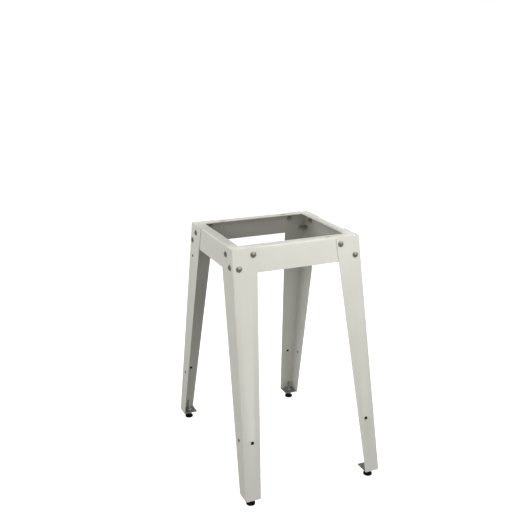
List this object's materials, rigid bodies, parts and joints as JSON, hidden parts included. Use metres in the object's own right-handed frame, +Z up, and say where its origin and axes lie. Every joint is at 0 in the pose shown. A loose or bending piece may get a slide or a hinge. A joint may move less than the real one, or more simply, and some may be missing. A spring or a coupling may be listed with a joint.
{
  "type": "machine stand",
  "caption": "Open sheet-metal machine stand: splayed, tapered angle legs bolted to a rectangular top frame of folded rails, on screw-adjusted rubber feet.",
  "frame": {"origin": "on the floor under the middle of the frame", "axes": "+Z up, +X to the right along the front rail, -Y towards the front"},
  "size_m": [0.455, 0.642, 0.762],
  "materials": {
    "paint": "warm light grey powder coat, satin",
    "zinc": "bright zinc plate",
    "dark_steel": "dull dark zinc plate",
    "rubber": "moulded black rubber, matt"
  },
  "bodies": {
    "frame": {"front_rail": "paint", "rear_rail": "paint", "left_rail": "paint", "right_rail": "paint", "front_left_leg": "paint", "front_left_foot_plate": "dark_steel", "front_left_long_bolt_upper": "zinc", "front_left_long_nut_upper": "zinc", "front_left_long_bolt_lower": "zinc", "front_left_long_nut_lower": "zinc", "front_left_short_bolt_upper": "zinc", "front_left_short_nut_upper": "zinc", "front_left_short_bolt_lower": "zinc", "front_left_short_nut_lower": "zinc", "front_left_foot_upper_nut": "dark_steel", "front_left_foot_lower_nut": "zinc", "front_right_leg": "paint", "front_right_foot_plate": "dark_steel", "front_right_long_bolt_upper": "zinc", "front_right_long_nut_upper": "zinc", "front_right_long_bolt_lower": "zinc", "front_right_long_nut_lower": "zinc", "front_right_short_bolt_upper": "zinc", "front_right_short_nut_upper": "zinc", "front_right_short_bolt_lower": "zinc", "front_right_short_nut_lower": "zinc", "front_right_foot_upper_nut": "dark_steel", "front_right_foot_lower_nut": "zinc", "rear_left_leg": "paint", "rear_left_foot_plate": "dark_steel", "rear_left_long_bolt_upper": "zinc", "rear_left_long_nut_upper": "zinc", "rear_left_long_bolt_lower": "zinc", "rear_left_long_nut_lower": "zinc", "rear_left_short_bolt_upper": "zinc", "rear_left_short_nut_upper": "zinc", "rear_left_short_bolt_lower": "zinc", "rear_left_short_nut_lower": "zinc", "rear_left_foot_upper_nut": "dark_steel", "rear_left_foot_lower_nut": "zinc", "rear_right_leg": "paint", "rear_right_foot_plate": "dark_steel", "rear_right_long_bolt_upper": "zinc", "rear_right_long_nut_upper": "zinc", "rear_right_long_bolt_lower": "zinc", "rear_right_long_nut_lower": "zinc", "rear_right_short_bolt_upper": "zinc", "rear_right_short_nut_upper": "zinc", "rear_right_short_bolt_lower": "zinc", "rear_right_short_nut_lower": "zinc", "rear_right_foot_upper_nut": "dark_steel", "rear_right_foot_lower_nut": "zinc"},
    "front_left_pad": {"front_left_foot_pad": "rubber"},
    "front_left_stud": {"front_left_foot_stud": "dark_steel"},
    "front_right_pad": {"front_right_foot_pad": "rubber"},
    "front_right_stud": {"front_right_foot_stud": "dark_steel"},
    "rear_left_pad": {"rear_left_foot_pad": "rubber"},
    "rear_left_stud": {"rear_left_foot_stud": "dark_steel"},
    "rear_right_pad": {"rear_right_foot_pad": "rubber"},
    "rear_right_stud": {"rear_right_foot_stud": "dark_steel"}
  },
  "joints": [
    {"name": "front_left_height", "type": "slide", "parent": "frame", "child": "front_left_pad", "axis": [0, 0, 1], "range_m": [-0.015, 0.00525]},
    {"name": "front_left_turn", "type": "hinge", "parent": "front_left_pad", "child": "front_left_stud", "pos_m": [-0.2025, -0.2955, 0], "axis": [0, 0, 1], "range_deg": [-3600, 1260]},
    {"name": "front_right_height", "type": "slide", "parent": "frame", "child": "front_right_pad", "axis": [0, 0, 1], "range_m": [-0.015, 0.00525]},
    {"name": "front_right_turn", "type": "hinge", "parent": "front_right_pad", "child": "front_right_stud", "pos_m": [0.2025, -0.2955, 0], "axis": [0, 0, 1], "range_deg": [-3600, 1260]},
    {"name": "rear_left_height", "type": "slide", "parent": "frame", "child": "rear_left_pad", "axis": [0, 0, 1], "range_m": [-0.015, 0.00525]},
    {"name": "rear_left_turn", "type": "hinge", "parent": "rear_left_pad", "child": "rear_left_stud", "pos_m": [-0.2025, 0.2955, 0], "axis": [0, 0, 1], "range_deg": [-3600, 1260]},
    {"name": "rear_right_height", "type": "slide", "parent": "frame", "child": "rear_right_pad", "axis": [0, 0, 1], "range_m": [-0.015, 0.00525]},
    {"name": "rear_right_turn", "type": "hinge", "parent": "rear_right_pad", "child": "rear_right_stud", "pos_m": [0.2025, 0.2955, 0], "axis": [0, 0, 1], "range_deg": [-3600, 1260]}
  ],
  "couplings": [
    {"joint": "front_left_turn", "follows": "front_left_height", "rad_per_m": 4188.8},
    {"joint": "front_right_turn", "follows": "front_right_height", "rad_per_m": 4188.8},
    {"joint": "rear_left_turn", "follows": "rear_left_height", "rad_per_m": 4188.8},
    {"joint": "rear_right_turn", "follows": "rear_right_height", "rad_per_m": 4188.8}
  ]
}
